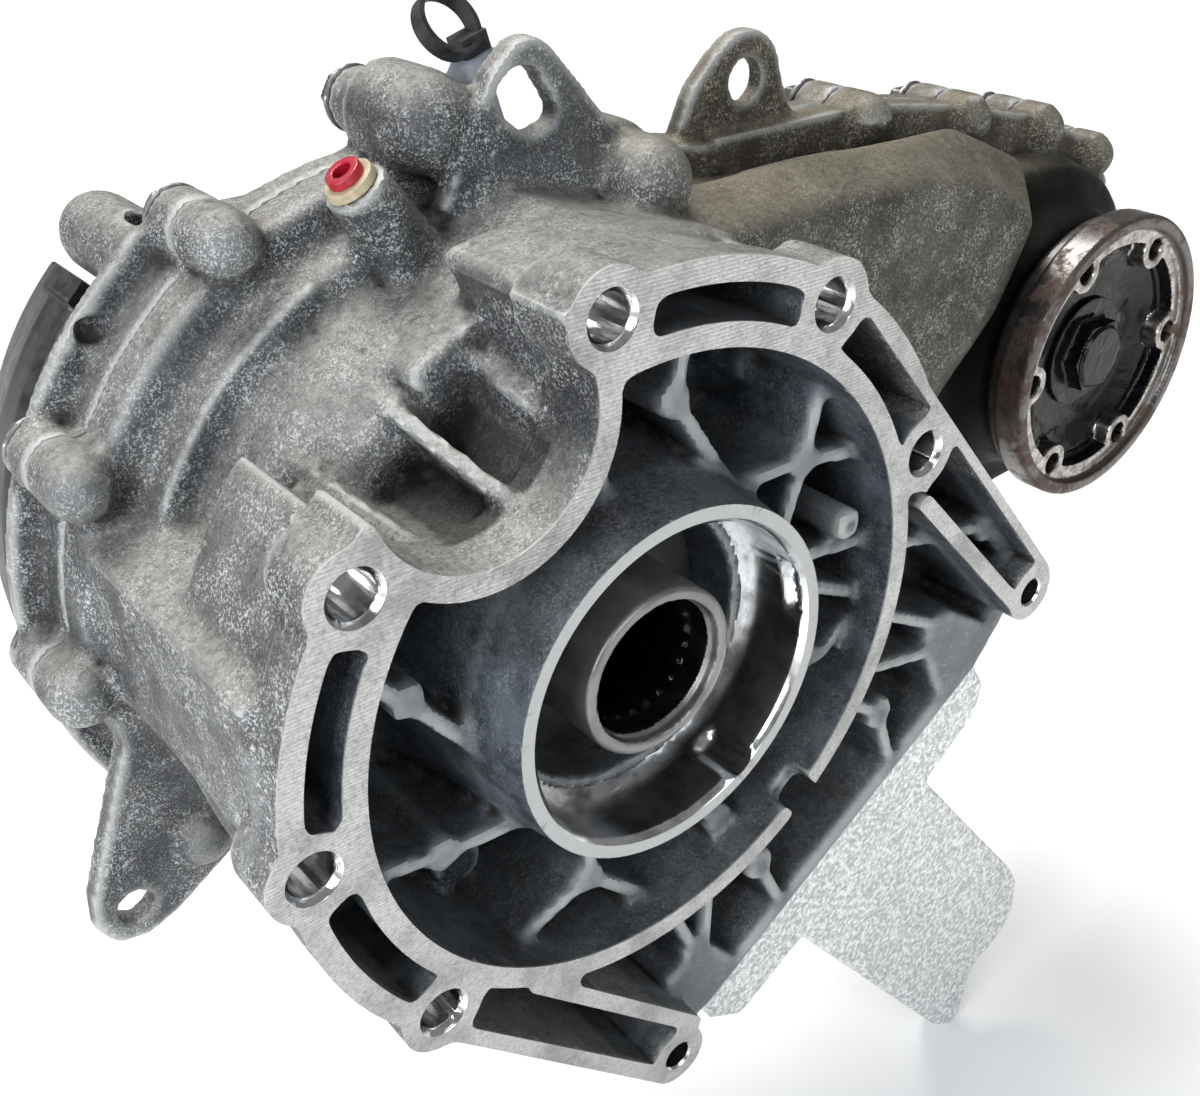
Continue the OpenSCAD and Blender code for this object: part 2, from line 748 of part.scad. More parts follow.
// ---------- bevel gears ----------

pinion_pitch_r = side_pitch_r * pinion_teeth / side_teeth;
side_cone_y = pinion_pitch_r;
addendum = 1;
dedendum = 2.4;
cone_share = 0.68;
side_cos = side_pitch_r / norm([side_pitch_r, pinion_pitch_r]);
side_sin = pinion_pitch_r / norm([side_pitch_r, pinion_pitch_r]);

// side gear facing +Y, its cone point at y = 0
module side_gear_teeth() {
    translate([0, -side_cone_y, 0]) rotate([-90, 0, 0]) rotate(180 / side_teeth)
        linear_extrude(side_cone_y * (1 - cone_share), scale = cone_share)
            difference() {
                polygon(gear_points(side_teeth, side_pitch_r - dedendum / side_sin,
                    side_pitch_r + addendum / side_sin,
                    0.5, 0.2));
                circle(24.5);
            }
}

module pinion_shape() {
    difference() {
        translate([0, 0, side_pitch_r]) mirror([0, 0, 1]) rotate(0)
            linear_extrude(side_pitch_r * (1 - cone_share), scale = cone_share)
                polygon(gear_points(pinion_teeth, pinion_pitch_r - dedendum / side_cos,
                    pinion_pitch_r + addendum / side_cos, 0.5, 0.2));
        cylinder(r = spider_arm_r + fit, h = side_pitch_r + overlap);
    }
}

// pinion on one arm of the spider
module pinion_at(angle) {
    color([0.55, 0.55, 0.57]) rotate([0, angle, 0]) translate([0, differential_y, 0])
        rotate([0, 90, 0]) rotate(90) {
            pinion_shape();
            difference() {
                translate([0, 0, side_pitch_r]) cylinder(r = 14, h = 7);
                cylinder(r = spider_arm_r + fit, h = 60);
            }
        }
}
module pinion_right() { pinion_at(0); }
module pinion_low() { pinion_at(90); }
module pinion_left() { pinion_at(180); }
module pinion_top() { pinion_at(270); }

side_back_y = differential_y - side_cone_y;

module sprocket_tube() {
    color([0.55, 0.55, 0.57]) {
        translate([0, differential_y, 0]) side_gear_teeth();
        turned([[19 + fit, 71], [29, 71], [30, 72], [30, 115], [31, 115.5], [31, 121], [34, side_back_y],
            [24.4, side_back_y + 0.01], [24.4, side_back_y - 1], [19 + fit, 121]]);
    }
}

module sprocket_wheel(bore, at) {
    difference() {
        plate(chain_y - chain_width / 2 + 1, chain_y + chain_width / 2 - 1) translate(at)
            polygon(gear_points(sprocket_teeth, sprocket_r - 9, sprocket_r - 5.5, 0.6, 0.35));
        bar(bore, chain_y - 20, chain_y + 20, at);
        for (i = [0 : 5]) bar(5, chain_y - 20, chain_y + 20, at + polar(37.5, 60 * i));
    }
}

module drive_sprocket() { color(steel) sprocket_wheel(30 + fit, [0, 0]); }
module driven_sprocket() { color(steel) sprocket_wheel(21 + fit, front_axis); }

module rear_side_gear() {
    color([0.55, 0.55, 0.57]) {
        translate([0, differential_y, 0]) mirror([0, 1, 0]) side_gear_teeth();
        turned([[14 + fit, differential_y + side_cone_y], [34, differential_y + side_cone_y], [30, 161.5],
            [26, 162], [26, 170], [14 + fit, 170]]);
    }
}

module rear_output_shaft() {
    color([0.5, 0.5, 0.52]) turned([[0, 160], [14, 160], [14, 170.4], [24, 170.4], [24, 180.6], [16, 181.4],
        [16, rear_flange_y - cup_depth], [12, rear_flange_y - cup_depth],
        [12, rear_flange_y - cup_depth + 9],
        [11, rear_flange_y - cup_depth + 10], [0, rear_flange_y - cup_depth + 10]]);
}

// ---------- output flanges ----------

cup_depth = 13;
cup_r = 43;
lug_r = 7.5;
// flange facing -Y with its face at y = 0: outer rim, six threaded lugs and a deep cup
module output_flange(shaft_bore, hub_r, depth) {
    difference() {
        union() {
            turned([[0, 12], [flange_r - 1, 12], [flange_r, 11], [flange_r, 1], [flange_r - 1, 0],
                [flange_r - 5, 0],
                [flange_r - 5, 3], [0, 3]]);
            turned([[0, 10], [46, 10], [44, 16], [hub_r, 17.5], [hub_r, depth], [0, depth]]);
        }
        difference() {
            union() { bar(cup_r, -overlap, 9); taper(cup_r - 3, 30, 9 - 0.01, cup_depth); }
            for (i = [0 : flange_lugs - 1]) bar(lug_r, -2 * overlap, 10,
                polar(flange_bolt_circle_r, 360 / flange_lugs * i));
        }
        bar(shaft_bore + fit, 0, depth + overlap);
        for (i = [0 : flange_lugs - 1])
            bar(flange_thread_r, -overlap, 12.99, polar(flange_bolt_circle_r, 360 / flange_lugs * i));
    }
}

module front_flange() {
    color([0.42, 0.3, 0.24]) translate([axis_gap, front_flange_y, 0]) output_flange(front_shaft_r, 24, 26);
}

module front_flange_nut() {
    color(steel) difference() {
        union() {
            bar(21, front_flange_y + cup_depth - 2, front_flange_y + cup_depth - fit, front_axis);
            plate(front_flange_y + cup_depth - 8, front_flange_y + cup_depth - 1.5)
                translate(front_axis) circle(14.5, $fn = 6);
        }
        bar(12 + fit, front_flange_y, front_flange_y + 40, front_axis);
    }
}

module front_output_shaft() {
    color([0.5, 0.5, 0.52]) turned([[0, front_flange_y + 4], [11, front_flange_y + 4],
        [12, front_flange_y + 5],
        [12, front_flange_y + cup_depth], [15, front_flange_y + cup_depth], [15, 73.2], [18, 73.6],
        [18, 92], [21, 92.5],
        [21, 115], [19, 116], [19, 120.5], [15, 120.8], [15, 134], [14, 135], [0, 135]], front_axis);
}

module dust_shield() {
    color([0.06, 0.06, 0.06]) turned([[47.2, front_flange_y + 12.1], [51, front_flange_y + 12.1],
        [51, 63], [48, 66], [47.2, 65]],
        front_axis);
}

module rear_flange() {
    color([0.42, 0.3, 0.24]) translate([0, rear_flange_y, 0]) mirror([0, 1, 0]) output_flange(16, 26, 24);
}

module rear_flange_nut() {
    color(steel) difference() {
        union() {
            bar(21, rear_flange_y - cup_depth + fit, rear_flange_y - cup_depth + 2);
            plate(rear_flange_y - cup_depth + 1.5, rear_flange_y - cup_depth + 8) circle(14.5, $fn = 6);
        }
        bar(12 + fit, rear_flange_y - 30, rear_flange_y + 10);
    }
}

// ---------- shield on the rear case ----------

shield_y0 = 127;
shield_y1 = 180;
shield_from = 134;
shield_to = 206;
shield_step_r = 113;
shield_step = [12, 14];
// the foot sits on the drum and stays clear of the bolt heads
shield_profile = [[rear_drum_r + fit, shield_y0 + 0.5], [100.5, shield_y0 + 0.5], [101, 133.5],
    [112, 134], [113, 138],
    [112, 150], [104, 178], [101, shield_y1], [88, shield_y1], [88, 176], [99, 174], [107, 149],
    [108, 139.5],
    [99, 138.5], [rear_drum_r + fit, 138]];
// black shield round the left of the rear case
module rear_shield() {
    color([0.06, 0.06, 0.07]) intersection() {
        turned(shield_profile);
        // from beside the rounded lug down to the lower left, with a step at its upper end
        plate(shield_y0 - overlap, shield_y1 + overlap) difference() {
            polygon([[0, 0], polar(160, shield_from), [-170, 0], polar(160, shield_to)]);
            translate(polar(shield_step_r, shield_from)) rotate(shield_from)
                square(shield_step, center = true);
        }
    }
}

// ---------- chain ----------

// straight runs first, then the two arcs: pin positions round the loop
half_run = (chain_links - sprocket_teeth) / 2;
function pin_point(i) =
    i <= half_run ? [i * chain_pitch, sprocket_r]
    : i <= half_run + sprocket_teeth / 2
        ? [axis_gap, 0] + polar(sprocket_r, 90 - (i - half_run) * 360 / sprocket_teeth)
    : i <= 2 * half_run + sprocket_teeth / 2
        ? [axis_gap - (i - half_run - sprocket_teeth / 2) * chain_pitch, -sprocket_r]
    : polar(sprocket_r, 270 - (i - 2 * half_run - sprocket_teeth / 2) * 360 / sprocket_teeth);

link_waist = 6;
link_end_r = 4.3;
pin_r = 1.8;
link_rows = 3;
row_gap = 0.3;
// every second link of one row
module links(first) {
    for (i = [first : 2 : chain_links - 1]) {
        from = pin_point(i);
        to = pin_point((i + 1) % chain_links);
        strip(from, to, link_waist);
        translate(from) circle(link_end_r);
        translate(to) circle(link_end_r);
    }
}

module drive_chain() {
    row_w = chain_width / link_rows;
    start = chain_y - chain_width / 2;
    color([0.4, 0.4, 0.42]) {
        for (k = [0 : link_rows - 1])
            plate(start + k * row_w + row_gap / 2, start + (k + 1) * row_w - row_gap / 2) links(k % 2);
        for (i = [0 : chain_links - 1]) bar(pin_r, start + lip, start + chain_width - lip, pin_point(i));
    }
}

// ---------- breather, tie and its mount ----------

module breather_frame(along = breather_length) {
    translate(breather_base) rotate([0, -breather_lean, 0]) translate([0, 0, along]) children();
}
module breather_bush() {
    color([0.85, 0.83, 0.7]) breather_frame() difference() {
        union() {
            translate([0, 0, -18]) cylinder(r = 5 - fit, h = 18.1);
            translate([0, 0, fit]) cylinder(r1 = 6.9, r2 = 6.5, h = 2.4);
        }
        translate([0, 0, -20]) cylinder(r = 3.4, h = 30);
    }
}
module breather_collar() {
    color([0.8, 0.1, 0.15]) breather_frame() difference() {
        union() {
            translate([0, 0, -12]) cylinder(r = 3.4 - fit, h = 16);
            translate([0, 0, 2.4 + 2 * fit]) cylinder(r1 = 4.9, r2 = 4.6, h = 2.4);
        }
        translate([0, 0, -14]) cylinder(r = 2.5, h = 30);
    }
}

tie_base = [20, 100, 125];
tie_lean = 18;
loop_r = 9;
module tie_frame() { translate(tie_base) rotate([0, -tie_lean, 0]) children(); }
module tie_mount() {
    color([0.7, 0.72, 0.74, 0.8]) tie_frame() {
        translate([0, 0, -24]) cylinder(r = 3, h = 25);
        cylinder(r1 = 8, r2 = 9.3, h = 1.6);
        translate([0, 0, 1.6]) cylinder(r1 = 8.6, r2 = 5, h = 4.4);
    }
}
module cable_tie() {
    color([0.05, 0.05, 0.05]) tie_frame() translate([0, 0, 6.1]) {
        translate([-4.5, 0, 9.2]) rotate([58, 0, 22]) difference() {
            cylinder(r = loop_r, h = 4.6, center = true);
            cylinder(r = loop_r - 1.4, h = 8, center = true);
        }
        translate([-4, -3.5, 0]) cube([8, 7, 5]);
    }
}

// ---------- selection ----------

// which piece to show

front_case();
rear_case();
case_bolts();
case_dowels();
fill_plug();
drain_plug();
plug_washers();
input_seal();
front_output_seal();
rear_output_seal();
input_bearing_outer();
sprocket_bearing_outer();
rear_bearing_outer();
front_shaft_bearing_outers();
drive_chain();
breather_bush();
breather_collar();
tie_mount();
cable_tie();
input_shaft();
spider();
carrier_drum();
carrier_cover();
carrier_screws();
input_bearing_inner();
input_bearing_balls();
pinion_right();
pinion_low();
pinion_left();
pinion_top();
sprocket_tube();
drive_sprocket();
sprocket_bearing_inner();
sprocket_bearing_balls();
rear_side_gear();
rear_output_shaft();
rear_flange();
rear_flange_nut();
rear_shield();
rear_bearing_inner();
rear_bearing_balls();
front_output_shaft();
driven_sprocket();
front_flange();
front_flange_nut();
dust_shield();
front_shaft_bearing_inners();
front_shaft_bearing_balls();
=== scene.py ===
"""Looks of a single-speed transfer case: softened castings, machined faces, worn metal and plastic."""
import json
import math

import bmesh
import bpy
import numpy as np
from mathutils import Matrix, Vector


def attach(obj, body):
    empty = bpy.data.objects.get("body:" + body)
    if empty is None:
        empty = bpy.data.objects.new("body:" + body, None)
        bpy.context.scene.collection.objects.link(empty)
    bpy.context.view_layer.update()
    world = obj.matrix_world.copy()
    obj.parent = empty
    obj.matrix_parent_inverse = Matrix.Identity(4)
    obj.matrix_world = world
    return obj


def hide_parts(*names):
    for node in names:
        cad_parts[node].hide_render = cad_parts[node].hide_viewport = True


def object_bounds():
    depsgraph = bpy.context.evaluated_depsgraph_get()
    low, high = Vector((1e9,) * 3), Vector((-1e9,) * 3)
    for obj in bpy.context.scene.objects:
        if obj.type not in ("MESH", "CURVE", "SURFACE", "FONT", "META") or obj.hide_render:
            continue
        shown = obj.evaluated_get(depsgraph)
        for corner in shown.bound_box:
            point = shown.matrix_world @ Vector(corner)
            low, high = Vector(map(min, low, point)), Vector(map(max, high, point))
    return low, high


MM = 0.001
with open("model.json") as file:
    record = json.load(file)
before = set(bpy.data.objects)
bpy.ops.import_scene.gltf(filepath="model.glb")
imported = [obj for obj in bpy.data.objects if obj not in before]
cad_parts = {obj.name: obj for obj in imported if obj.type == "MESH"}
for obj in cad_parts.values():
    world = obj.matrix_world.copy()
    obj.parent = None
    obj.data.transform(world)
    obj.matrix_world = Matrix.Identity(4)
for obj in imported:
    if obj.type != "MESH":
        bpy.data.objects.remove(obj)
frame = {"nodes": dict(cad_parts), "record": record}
cad_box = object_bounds()
scene = bpy.context.scene

# main sizes of the CAD, in mm
RING_INNER, RING_OUTER = 84.0, 90.0
BOSS_PROUD, BOSS_BORE, BOSS_RADIUS = 6.0, 43.0, 47.5
SHOULDER_Y = 15.0
HOLE_CIRCLE, HOLE_RADIUS, CORNER_HOLE_RADIUS = 98.5, 5.5, 4.5
HOLE_CHAMFER, CORNER_CHAMFER = 1.5, 0.6
EAR_DEPTH = 26.0
HOLE_ANGLES = (19, 59, 100, 146, 185, 225)
CORNER_HOLES = ((10, -146), (158, -38))
BELL_FLOOR_Y = 50.0
PARTING_Y = 110.0
FRONT_AXIS = (261.9375, 0)
FRONT_FLANGE_Y, REAR_FLANGE_Y = 47.0, 206.0
LUG_COUNT, LUG_CIRCLE, LUG_RADIUS = 6, 43.0, 7.5
HUB_BORE, HUB_RIM_Y = 19.6, 5.2
NOTCH, NOTCH_RADIUS = (-49, 78), 28.5
NOTCH_RIB_WIDTH, NOTCH_RIB_FOOT = 4.4, 58
NOTCH_RIB_FRONT, NOTCH_RIB_SHOULDER, NOTCH_RIB_BACK = 14, 50, 64
# each rib's angle, and its radius at the front and at the shoulder
NOTCH_RIBS = ((106, 71, 81), (122.5, 66, 80), (139.5, 71, 81))
PAD_Y, PAD_RADIUS, PAD_CIRCLE, PAD_ANGLES, LOW_PAD = 10.0, 4.8, 68.0, (33, 81, 166, 208, 257), (33, -72)
BREATHER = (-10, 88)
# the lifting eye and the left bracket's hole
EYE, EYE_RADIUS = (120, 110), 6.5
BRACKET_HOLE, BRACKET_HOLE_RADIUS = (-110, -84), 5.2
LUG_BACK_Y = 90.0

# places of the front casting that are smoothed more, in mm
WALL_X, WALL_Y, WALL_TOP, WALL_CLEAR = 62, (52, 97), 92, 40
THICK_Y, THICK_TOP, THICK_RADIUS, THICK_BACK, THICK_CLEAR = (22, 95), 103, 106, 66, 75
FOOT_SIDE_Y, FOOT_SIDE_TOP = 90, -40
ROOF_X, ROOF_Y, ROOF_Z, ROOF_CLEAR = (-42, 8), (26, 94), (72, 104), 16

# painted looks of the front casting, in mm and degrees: limits, or where a look starts and is full
# where the foot is painted pale, as painted light
FOOT_Y, FOOT_SLOPE, FOOT_EDGE = (11, 27), 1.48, (246, 250)
SKIRT_Y, SKIRT_SLOPE, SKIRT_EDGE = (1, BELL_FLOOR_Y), 0.9, (100, 112)
WARM_X, WARM_Y, REAR_WARM_X, REAR_WARMTH = (25, 85), (46, 66), (20, 160), 0.7
# where the pockets between the notch's ribs get painted shade
POCKET_Y, POCKET_FOOT, POCKET_REACH, POCKET_RIGHT, POCKET_LEFT = (14, 60), 57, (68, 79), (92, 100), (146, 152)
CREST_REACH, CREST_EDGE = (63, 68), 5
OIL_Y, OIL_REACH = (40, 96), (60, 74)
# strength of the painted highlight on the rib and pad tops
RIB_TOP_HIGHLIGHT, PAD_TOP_HIGHLIGHT_MORE, SKIRT_TOP_Z = 0.35, 0.4, 20
BELL_EDGE, NOTCH_EDGE = (RING_OUTER + 8, RING_OUTER + 9), (3.5, 4.5)
SKIRT_SHARE, POCKET_SHARE = 0.8, 0.8

# how the meshes are made, in mm and degrees, apart from the weld distance, which is in metres
STRETCH = 4
FAR = 420
CURVE_STEPS, HOLE_STEPS = 128, 48
WELD = 1e-6
SMOOTH_FACTOR = 0.5
SHARP_ANGLE = 38
# how far a face's normal points forward
FACING, NEARLY_FACING, SLOPING = 0.98, 0.9, 0.8


def polar(radius, degrees):
    """x and z of a point, from its distance to the axis and its angle from +X towards +Z."""
    return radius * math.cos(math.radians(degrees)), radius * math.sin(math.radians(degrees))


# ---------------------------------------------------------------- node materials


MIX_A, MIX_B, MIX_RESULT = 6, 7, 2  # the colour sockets of a mix node


class Shader:
    """A material with short calls for the nodes it needs. Textures lie in object space, in metres."""

    def __init__(self, name):
        self.material = bpy.data.materials.new(name)
        self.material.use_nodes = True
        self.tree = self.material.node_tree
        self.bsdf = self.tree.nodes["Principled BSDF"]
        self.place = self.node("ShaderNodeTexCoord").outputs["Object"]

    def node(self, kind, **settings):
        made = self.tree.nodes.new(kind)
        for key, value in settings.items():
            setattr(made, key, value)
        return made

    def put(self, socket, value):
        if isinstance(value, bpy.types.NodeSocket):
            self.tree.links.new(value, socket)
        elif isinstance(value, tuple) and len(value) == 3 and socket.type == "RGBA":
            socket.default_value = (*value, 1)
        else:
            socket.default_value = value

    def set(self, **sockets):
        for key, value in sockets.items():
            self.put(self.bsdf.inputs[key.replace("_", " ")], value)

    def noise(self, scale, detail=4.0, roughness=0.6, distortion=0.0):
        n = self.node("ShaderNodeTexNoise")
        self.put(n.inputs["Vector"], self.place)
        self.put(n.inputs["Scale"], scale)
        self.put(n.inputs["Detail"], detail)
        self.put(n.inputs["Roughness"], roughness)
        self.put(n.inputs["Distortion"], distortion)
        return n.outputs["Fac"]

    def waves(self, scale, direction, distortion=0.0, detail_scale=3.0):
        n = self.node("ShaderNodeTexWave", wave_type="BANDS", bands_direction=direction)
        self.put(n.inputs["Vector"], self.place)
        self.put(n.inputs["Scale"], scale)
        self.put(n.inputs["Distortion"], distortion)
        self.put(n.inputs["Detail Scale"], detail_scale)
        return n.outputs["Fac"]

    def remap(self, value, low, high, to_low=0.0, to_high=1.0):
        n = self.node("ShaderNodeMapRange", interpolation_type="SMOOTHSTEP")
        ends = {"Value": value, "From Min": low, "From Max": high, "To Min": to_low, "To Max": to_high}
        for key, end in ends.items():
            self.put(n.inputs[key], end)
        return n.outputs["Result"]

    def spots(self, low, high, scale, detail=6, roughness=0.7, distortion=0.0, least=0.0, most=1.0):
        """Noise turned into patches: the least where it is under low, the most where it is over high."""
        return self.remap(self.noise(scale, detail, roughness, distortion), low, high, least, most)

    def fade(self, factor, start, end):
        """A value that goes from start to end as the factor goes from 0 to 1."""
        return self.remap(factor, 0, 1, start, end)

    def times(self, a, b):
        return self.math("MULTIPLY", a, b)

    def math(self, kind, a, b=0.5):
        n = self.node("ShaderNodeMath", operation=kind, use_clamp=kind != "SUBTRACT")
        self.put(n.inputs[0], a)
        self.put(n.inputs[1], b)
        return n.outputs[0]

    def mix(self, factor, a, b, blend="MIX"):
        n = self.node("ShaderNodeMix", data_type="RGBA", blend_type=blend)
        self.put(n.inputs["Factor"], factor)
        self.put(n.inputs[MIX_A], a)
        self.put(n.inputs[MIX_B], b)
        return n.outputs[MIX_RESULT]

    def attribute(self, name):
        return self.node("ShaderNodeAttribute", attribute_name=name).outputs["Fac"]

    def upward(self, low=0.15, high=0.95):
        """How far a face looks up, from 0 to 1."""
        split = self.node("ShaderNodeSeparateXYZ")
        self.put(split.inputs[0], self.node("ShaderNodeNewGeometry").outputs["Normal"])
        return self.remap(split.outputs["Z"], low, high)

    def edges(self, low, high):
        """Outer edges, or crevices where low is over high."""
        return self.remap(self.node("ShaderNodeNewGeometry").outputs["Pointiness"], low, high)

    def bump(self, height, strength, distance, under=None):
        n = self.node("ShaderNodeBump")
        self.put(n.inputs["Height"], height)
        self.put(n.inputs["Strength"], strength)
        self.put(n.inputs["Distance"], distance)
        if under:
            self.put(n.inputs["Normal"], under)
        return n.outputs["Normal"]


# colours of the castings: a dark and a pale tone where there are two
OUTSIDE = (0.04, 0.043, 0.047), (0.1, 0.105, 0.11)
# the inside tones, darker as painted shade inside the bell
INSIDE = (0.022, 0.028, 0.038), (0.1, 0.122, 0.145)
KHAKI = (0.04, 0.033, 0.022), (0.085, 0.074, 0.055)
# the foot's pale tones are painted light
LIT_FOOT_TONES = (0.42, 0.44, 0.44), (0.92, 0.94, 0.93)
# near-black tones of the oil, also used as painted shade in the pockets
OIL_AND_SHADE = (0.003, 0.003, 0.003), (0.012, 0.01, 0.009)
SALT, KHAKI_SALT = (0.56, 0.57, 0.57), (0.34, 0.32, 0.26)
# tones of the dust on top, which also stand in for painted light from above
DUST_AND_TOP_LIGHT, KHAKI_DUST_AND_TOP_LIGHT = (0.37, 0.36, 0.33), (0.24, 0.215, 0.165)
# the crevice tone on the next line is painted shade
DIRT, CREVICE_SHADE = (0.07, 0.05, 0.034), (0.03, 0.026, 0.022)
# the pads' top tone on the next line is painted highlight
BARE_EDGE, PAD_TOP_HIGHLIGHT = (0.5, 0.51, 0.5), (0.27, 0.295, 0.31)


def cast_aluminium():
    """Weathered casting: mottled grey, dust on top that is also painted light from above, bare edges, painted
    shade in the crevices, and cleaner blue-grey metal inside the bell, darkened as painted shade.
    The painted weights say where each look belongs."""
    s = Shader("cast_aluminium")
    inside, warm, bright, grime, pads = map(s.attribute, ("inside", "warm", "bright", "grime", "pads"))
    outside = s.fade(inside, 1.0, 0.3)
    patch = s.spots(0.36, 0.66, scale=34, roughness=0.68)
    # cleaner blue-grey metal inside the bell, its darker tone painted shade
    base = s.mix(inside, s.mix(patch, *OUTSIDE), s.mix(s.spots(0.38, 0.66, scale=55), *INSIDE))
    base = s.mix(warm, base, s.mix(patch, *KHAKI))
    # white corrosion, as fine dots that gather in patches
    fine = s.times(s.spots(0.53, 0.6, scale=1500, detail=3), 0.8)
    large = s.spots(0.545, 0.6, scale=620, detail=8, roughness=0.82)
    gathered = s.spots(0.4, 0.6, scale=70, detail=5, least=0.25)
    dots = s.times(s.times(s.math("MAXIMUM", fine, large), gathered), outside)
    base = s.mix(dots, base, s.mix(warm, SALT, KHAKI_SALT))
    # pale dust on faces that look up, which is also painted light from above, broken by dirt
    dust_and_top_light = s.times(s.upward(), s.spots(0.38, 0.6, scale=420, detail=8, roughness=0.85, least=0.2, most=0.72))
    base = s.mix(s.times(dust_and_top_light, outside), base, s.mix(warm, DUST_AND_TOP_LIGHT, KHAKI_DUST_AND_TOP_LIGHT))
    dirt = s.times(s.spots(0.56, 0.66, scale=190, detail=7, roughness=0.8),
                   s.spots(0.48, 0.62, scale=22, detail=4, roughness=0.6))
    base = s.mix(s.times(dirt, outside), base, DIRT)
    # painted shade in the crevices, and bare edges
    crevice_shade = s.times(s.edges(0.495, 0.45), s.spots(0.3, 0.6, scale=120, detail=5, least=0.2))
    base = s.mix(crevice_shade, base, CREVICE_SHADE)
    base = s.mix(s.times(s.edges(0.51, 0.56), 0.85), base, BARE_EDGE)
    # the foot painted pale as painted light, painted highlight on the pads' tops, and oily grime with painted
    # shade in the pockets
    base = s.mix(bright, base, s.mix(s.spots(0.42, 0.6, scale=520, detail=7, roughness=0.8), *LIT_FOOT_TONES))
    # painted highlight on the tops of the ribs and pads
    base = s.mix(pads, base, PAD_TOP_HIGHLIGHT)
    # oil behind the flange, and painted shade in the notch's pockets
    base = s.mix(grime, base, s.mix(patch, *OIL_AND_SHADE))
    grain = s.bump(s.noise(scale=1100, detail=6, roughness=0.8), strength=0.5, distance=0.0005)
    pits = s.bump(s.noise(scale=300, detail=6, roughness=0.75), strength=0.35, distance=0.0012, under=grain)
    s.set(Base_Color=base, Metallic=s.times(s.fade(dots, 0.5, 0.25), s.fade(grime, 1.0, 0.1)),
          Roughness=s.spots(0.3, 0.7, scale=60, detail=5, roughness=0.6, least=0.4, most=0.62),
          Specular_IOR_Level=s.fade(grime, 0.5, 0.1), Normal=pits)
    return s.material


def milled_aluminium():
    """Face-milled joint face: bright, with fine parallel tool lines, nicks and stains."""
    s = Shader("milled_aluminium")
    clean, stained, nick, line = (0.64, 0.64, 0.62), (0.36, 0.36, 0.35), (0.13, 0.13, 0.13), (0.2, 0.2, 0.2)
    lines = s.waves(scale=330, direction="Z", distortion=2.0)
    grit = s.spots(0.45, 0.66, scale=800, detail=7, roughness=0.85)
    base = s.mix(s.spots(0.4, 0.68, scale=48), clean, stained)
    base = s.mix(s.times(grit, 0.6), base, nick)
    base = s.mix(s.times(lines, 0.3), base, line)
    grooves = s.bump(lines, strength=0.5, distance=0.0002)
    s.set(Base_Color=base, Metallic=0.8, Roughness=s.fade(grit, 0.3, 0.5),
          Normal=s.bump(grit, strength=0.4, distance=0.0004, under=grooves))
    return s.material


def bright_bore():
    """Bored and honed metal, with fine turning lines round the bore."""
    s = Shader("bright_bore")
    clean, stained = (0.72, 0.73, 0.74), (0.45, 0.45, 0.45)
    lines = s.waves(scale=900, direction="Y", distortion=0.6)
    s.set(Base_Color=s.mix(s.spots(0.4, 0.65, scale=120, detail=4, roughness=0.6), clean, stained),
          Metallic=1.0, Roughness=0.16, Normal=s.bump(lines, strength=0.12, distance=0.0001))
    return s.material


def plain_metal(name, color, dark, roughness, scale=220, metallic=1.0, turned=False):
    """Steel with stains and paler edges. Turned steel has fine lines round the main axis."""
    s = Shader(name)
    stain = s.spots(0.35, 0.7, scale=scale)
    edge = tuple(min(1, 1.6 * c + 0.1) for c in color)
    base = s.mix(s.times(s.edges(0.52, 0.6), 0.6), s.mix(stain, color, dark), edge)
    if turned:
        height = s.waves(scale=700, direction="Y", distortion=0.4)
    else:
        height = s.noise(scale=scale * 4, detail=5, roughness=0.7)
    s.set(Base_Color=base, Metallic=metallic, Roughness=s.fade(stain, roughness, roughness + 0.2),
          Normal=s.bump(height, strength=0.1, distance=0.0003))
    return s.material


def rusty_steel():
    """Flange steel: dark machined metal with brown rust towards its edges."""
    s = Shader("rusty_steel")
    pale_steel, dark_steel = (0.2, 0.19, 0.185), (0.07, 0.065, 0.062)
    dark_rust, pale_rust = (0.045, 0.025, 0.018), (0.1, 0.06, 0.043)
    rust = s.spots(0.44, 0.6, scale=75, detail=7, roughness=0.72, distortion=0.4)
    rust = s.math("MAXIMUM", rust, s.times(s.edges(0.505, 0.56), 0.8))
    steel = s.mix(s.noise(scale=300, detail=5, roughness=0.7), pale_steel, dark_steel)
    brown = s.mix(s.spots(0.35, 0.65, scale=420, roughness=0.75), dark_rust, pale_rust)
    flakes = s.noise(scale=650, detail=6, roughness=0.75)
    s.set(Base_Color=s.mix(rust, steel, brown), Metallic=s.fade(rust, 0.95, 0.35),
          Roughness=s.fade(rust, 0.28, 0.6),
          Normal=s.bump(flakes, strength=s.fade(rust, 0.1, 0.5), distance=0.0006))
    return s.material


def grease_and_shade_black():
    """The cup's inside: black grease over dark steel, dark enough to be painted shade for the deep cup as
    well.
    """
    s = Shader("grease_and_shade_black")
    wet_tone, dry_tone = (0.002, 0.002, 0.003), (0.006, 0.006, 0.007)
    dry = s.spots(0.4, 0.65, scale=60, detail=4, roughness=0.6, distortion=0.6)
    lumps = s.noise(scale=120, detail=4, roughness=0.5, distortion=0.5)
    s.set(Base_Color=s.mix(dry, wet_tone, dry_tone), Metallic=0.0, Roughness=s.fade(dry, 0.12, 0.3),
          Specular_IOR_Level=0.25, Normal=s.bump(lumps, strength=0.5, distance=0.0015))
    return s.material


def plastic(name, color, shade, roughness, strength=0.08, **more):
    """Moulded plastic, paint or rubber with a fine grain."""
    s = Shader(name)
    tone = s.spots(0.35, 0.7, scale=140, detail=5, roughness=0.65)
    grain = s.noise(scale=1500, detail=3, roughness=0.6)
    s.set(Base_Color=s.mix(tone, color, shade), Roughness=s.fade(tone, roughness, roughness + 0.15),
          Normal=s.bump(grain, strength, distance=0.0003), **more)
    return s.material


